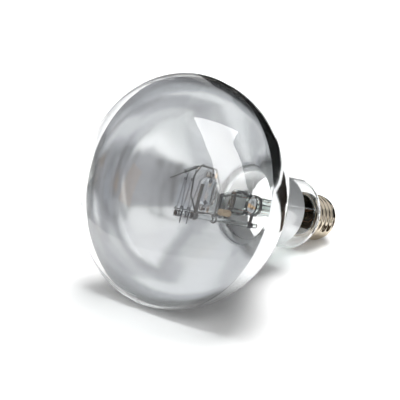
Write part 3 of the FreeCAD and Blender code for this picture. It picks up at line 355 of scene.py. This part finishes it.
def coil_round(path, radius, pitch):
    """Helix round a path of even steps, carried along without twist."""
    step = (path[1] - path[0]).length
    normal = (path[1] - path[0]).orthogonal().normalized()
    helix = []
    for i, point in enumerate(path):
        ahead = (path[min(i + 1, len(path) - 1)] - path[max(i - 1, 0)]).normalized()
        normal = (normal - ahead * normal.dot(ahead)).normalized()
        angle = 2 * math.pi * i * step / pitch
        arm = normal * math.cos(angle) + ahead.cross(normal) * math.sin(angle)
        helix.append(point + arm * radius)
    return helix


def wire_object(name, points, radius):
    """Thin round wire along points, as a bevelled curve of few sides."""
    curve = bpy.data.curves.new(name, "CURVE")
    curve.dimensions = "3D"
    curve.bevel_depth = radius
    curve.bevel_resolution = 1
    curve.use_fill_caps = True
    spline = curve.splines.new("POLY")
    spline.points.add(len(points) - 1)
    for place, point in zip(spline.points, points):
        place.co = (*point, 1.0)
    piece = bpy.data.objects.new(name, curve)
    bpy.context.scene.collection.objects.link(piece)
    return piece


class BULB_OT_wind_filament(bpy.types.Operator):
    """Winds the fine coil of the ballast filament over its hooks"""
    bl_idname = "bulb.wind_filament"
    bl_label = "Wind the filament"

    def execute(self, context):
        sizes = context.scene.bulb_coil
        half_turn = HOOK_BEND + BEND_SLACK
        corners = [spot(*COIL_START)]
        for depth, row in HOOKS:
            corners.append(spot(row * COIL_REACH, COIL_PLANE, depth + half_turn))
            corners.append(spot(row * COIL_REACH, COIL_PLANE, depth - half_turn))
        corners.append(spot(*COIL_END))
        path = rounded(corners, HOOK_BEND * MM, sizes.turn_pitch / POINTS_PER_TURN)
        helix = coil_round(path, sizes.coil_radius - sizes.wire_radius, sizes.turn_pitch)
        coil = wire_object("filament_coil", helix, sizes.wire_radius)
        coil.data.materials.append(bpy.data.materials["tungsten, sintered and drawn"])
        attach(coil, "root")
        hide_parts("ballast_filament")
        return {"FINISHED"}


# Studio, in metres and degrees. The mirror film and the glass show the cards round the lamp:
# most stand in a ring at the wall, some hang just in front of it, and the flags stand close by.
# Each card has its first and last heading, its lower and its upper edge, or its inner and its
# outer one, as a distance and a height, and its colour. The table cards lie just over the floor;
# the two darkest of them are painted shade, standing for the floor's shade beside the cap.

WALL = 1.6
BEFORE_WALL = 1.58
FLAG = 0.7
TABLE = 0.003
CEILING = 2.9
CARDS = (
    ("grey_card_left", 55.0, 187.0, (WALL, 0.0), (WALL, 2.9), "#BBBBBF"),
    ("tan_card", 130.0, 142.0, (BEFORE_WALL, 0.06), (BEFORE_WALL, 0.7), "#DDB488"),
    ("grey_card_camera", 187.0, 230.0, (WALL, 0.0), (WALL, 1.25), "#CECED1"),
    ("grey_card_right", 230.0, 258.0, (WALL, 0.0), (WALL, 1.2), "#AEAEB1"),
    ("white_card_left", 193.0, 210.0, (BEFORE_WALL, 0.0), (BEFORE_WALL, 1.5), "#EFEFEF"),
    ("white_card_camera", 228.0, 262.0, (WALL, 1.25), (WALL, 3.1), "#FFFFFF"),
    ("grey_card_side", 262.0, 284.0, (WALL, 0.0), (WALL, 1.6), "#C3C3C5"),
    ("black_flag", -18.0, 12.0, (FLAG, -0.01), (FLAG + 0.2, 1.9), "#060606"),
    ("black_flag_side", 296.0, 342.0, (FLAG, -0.01), (FLAG, 0.45), "#060606"),
    ("dark_card_rear", 12.0, 40.0, (WALL, 0.0), (WALL, 2.2), "#1A1A1A"),
    ("grey_card_rear", 40.0, 55.0, (WALL, 0.0), (WALL, 0.6), "#8C8C8C"),
    ("grey_table_inner", 96.0, 285.0, (0.18, TABLE), (0.25, TABLE), "#DDDDDF"),
    ("grey_table_outer", 96.0, 285.0, (0.25, TABLE), (WALL, TABLE), "#B9B9BC"),
    # Painted shade: dark sheets for the floor's shade beside the cap, seen only by the mirror film,
    # the glass and the cap
    ("painted_shade_table", -36.0, -4.0, (0.125, TABLE), (0.45, TABLE), "#1C1510"),
    ("painted_shade_table_near", -36.0, -13.0, (0.065, TABLE), (0.125, TABLE), "#4A4038"),
    ("pale_ceiling", 0.0, 360.0, (0.0, CEILING), (3.0, CEILING), "#F5F5F7"),
)
CARD_STEPS = 12

# Front of the softbox that the dome mirrors: rows from top to bottom, each with the heading and
# the height of its two ends, as seen from the lamp

WINDOW = (
    ((135, 67), (228, 71)),
    ((176, 62), (219, 63)),
    ((198, 49), (228, 49)),
    ((209, 27), (231, 30)),
)
WINDOW_AWAY = 1.5
WINDOW_GLOW = 9.5

# Name, place, aim, width and power of each light

LIGHTS = (
    ("front_softbox", (-0.5, -0.9, 1.3), (0.0, 0.0, 0.05), 0.62, 3.5),
    ("left_softbox", (-0.95, 0.4, 1.1), (0.0, 0.0, 0.05), 0.7, 2.0),
    ("top_softbox", (0.58, 0.1, 1.4), (0.0, 0.0, 0.0), 0.9, 35.0),
)

# Strength of the world's light on a surface, while the world that is seen has a strength of 1,
# and the glow that the floor adds where it is seen

WORLD_LEVEL = 0.12
FLOOR_GLOW = 0.12
FLOOR_WIDTH = 30.0

# Camera at the photograph's angle, distance and framing, round the belt's middle

CAMERA_AROUND = math.radians(-48.8)
CAMERA_ABOVE = math.radians(20.2)
CAMERA_AWAY = 1.2012
CAMERA_LENS = 205.1
CAMERA_SHIFT = (0.0603, -0.0223)


def glowing_sheet(name, corners, faces, shade, strength=1.0):
    """Stage surface of an even brightness that only reflections and glass see."""
    mesh = bpy.data.meshes.new(name)
    mesh.from_pydata(corners, [], faces)
    piece = bpy.data.objects.new(name, mesh)
    bpy.context.scene.collection.objects.link(piece)
    material, tree = new_material(name)
    glow = add_node(tree, "ShaderNodeEmission", inputs={
        "Color": linear(shade), "Strength": strength})
    surface(tree, glow.outputs["Emission"])
    mesh.materials.append(material)
    piece.visible_camera = False
    piece.visible_diffuse = False
    piece.visible_shadow = False
    return piece


def card(name, first, last, near, far, shade):
    """Studio card bent round the lamp from one heading to the next."""
    corners = []
    for i in range(CARD_STEPS + 1):
        turn = math.radians(first + (last - first) * i / CARD_STEPS)
        for away, lift in (near, far):
            corners.append((math.cos(turn) * away, math.sin(turn) * away, lift))
    faces = [(2 * i, 2 * i + 2, 2 * i + 3, 2 * i + 1) for i in range(CARD_STEPS)]
    glowing_sheet(name, corners, faces, shade)


def softbox_front(name, rows, away, strength):
    """Front of a softbox, seen only where the outer glass and the cap mirror it."""
    corners = []
    for row in rows:
        for heading, rise in row:
            turn, lift = math.radians(heading), math.radians(rise)
            corners.append((away * math.cos(turn) * math.cos(lift),
                            away * math.sin(turn) * math.cos(lift),
                            away * math.sin(lift)))
    faces = [(2 * i, 2 * i + 1, 2 * i + 3, 2 * i + 2) for i in range(len(rows) - 1)]
    piece = glowing_sheet(name, corners, faces, "#FFFFFF", strength)
    piece.visible_transmission = False


def soft_light(name, place, aim, width, power):
    """Soft light; what the glass and the metal mirror is the cards, not the lights."""
    light = bpy.data.lights.new(name, "AREA")
    light.shape = "SQUARE"
    light.size = width
    light.energy = power
    piece = bpy.data.objects.new(name, light)
    piece.location = place
    piece.rotation_mode = "QUATERNION"
    piece.rotation_quaternion = (Vector(aim) - Vector(place)).to_track_quat("-Z", "Y")
    piece.visible_glossy = False
    piece.visible_transmission = False
    bpy.context.scene.collection.objects.link(piece)


class BULB_OT_set_stage(bpy.types.Operator):
    """Sets the floor, the world, the cards, the lights and the camera"""
    bl_idname = "bulb.set_stage"
    bl_label = "Set the stage"

    def execute(self, context):
        context.scene.view_settings.view_transform = "Standard"
        self.world(context)
        self.floor()
        for values in CARDS:
            card(*values)
        softbox_front("softbox_front", WINDOW, WINDOW_AWAY, WINDOW_GLOW)
        for values in LIGHTS:
            soft_light(*values)
        self.camera(context)
        return {"FINISHED"}

    def world(self, context):
        """White where it is seen, and a plain level for the light that it gives."""
        world = bpy.data.worlds.new("studio")
        world.use_nodes = True
        tree = world.node_tree
        tree.nodes.clear()
        level = add_node(tree, "ShaderNodeMapRange", inputs={
            "Value": seen_ray(tree), "To Min": WORLD_LEVEL, "To Max": 1.0})
        back = add_node(tree, "ShaderNodeBackground", inputs={
            "Color": linear("#FFFFFF"), "Strength": level.outputs["Result"]})
        add_node(tree, "ShaderNodeOutputWorld", inputs={"Surface": back.outputs["Background"]})
        context.scene.world = world

    def floor(self):
        """Pale floor: its own glow fills it up to white and leaves the shadow."""
        bpy.ops.mesh.primitive_plane_add(size=FLOOR_WIDTH, location=(0.0, 0.0, 0.0))
        floor = bpy.context.object
        floor.name = "floor"
        material, tree = new_material("paper floor, matt")
        matt = add_node(tree, "ShaderNodeBsdfDiffuse", inputs={"Color": linear("#F0F0F0")})
        level = add_node(tree, "ShaderNodeMath", {"operation": "MULTIPLY"}, {
            0: seen_ray(tree), 1: FLOOR_GLOW})
        glow = add_node(tree, "ShaderNodeEmission", inputs={
            "Color": linear("#FFFFFF"), "Strength": level.outputs["Value"]})
        both = add_node(tree, "ShaderNodeAddShader", inputs={
            0: matt.outputs["BSDF"], 1: glow.outputs["Emission"]})
        surface(tree, both.outputs["Shader"])
        floor.data.materials.append(material)

    def camera(self, context):
        """Camera that looks at the belt's middle, with a small shift for the framing."""
        back = Vector((math.sin(CAMERA_AROUND) * math.cos(CAMERA_ABOVE),
                       -math.cos(CAMERA_AROUND) * math.cos(CAMERA_ABOVE),
                       math.sin(CAMERA_ABOVE)))
        data = bpy.data.cameras.new("camera")
        data.sensor_width = 36.0
        data.lens = CAMERA_LENS
        data.shift_x, data.shift_y = CAMERA_SHIFT
        data.clip_start, data.clip_end = 0.01, 50.0
        camera = bpy.data.objects.new("camera", data)
        camera.location = BELT + back * CAMERA_AWAY
        camera.rotation_mode = "QUATERNION"
        camera.rotation_quaternion = back.to_track_quat("Z", "Y")
        context.scene.collection.objects.link(camera)
        context.scene.camera = camera


# Panel and registration

class BULB_PT_panel(bpy.types.Panel):
    """Steps that dress the lamp"""
    bl_idname = "BULB_PT_panel"
    bl_label = "Reptile bulb"
    bl_space_type = "VIEW_3D"
    bl_region_type = "UI"
    bl_category = "Bulb"

    def draw(self, context):
        column = self.layout.column()
        for group in (context.scene.bulb_finish, context.scene.bulb_coil):
            for name in group.__annotations__:
                column.prop(group, name)
        for step in STEPS:
            column.operator(step.bl_idname)


STEPS = (BULB_OT_finish_solids, BULB_OT_wind_filament, BULB_OT_set_stage)
CLASSES = (BulbFinish, CoilSizes) + STEPS + (BULB_PT_panel,)


def register():
    for kind in CLASSES:
        bpy.utils.register_class(kind)
    bpy.types.Scene.bulb_finish = bpy.props.PointerProperty(type=BulbFinish)
    bpy.types.Scene.bulb_coil = bpy.props.PointerProperty(type=CoilSizes)


def unregister():
    del bpy.types.Scene.bulb_coil
    del bpy.types.Scene.bulb_finish
    for kind in reversed(CLASSES):
        bpy.utils.unregister_class(kind)


def main():
    """Runs each step in order."""
    register()
    bpy.ops.bulb.finish_solids()
    bpy.ops.bulb.wind_filament()
    bpy.ops.bulb.set_stage()


if __name__ == "__main__":
    main()
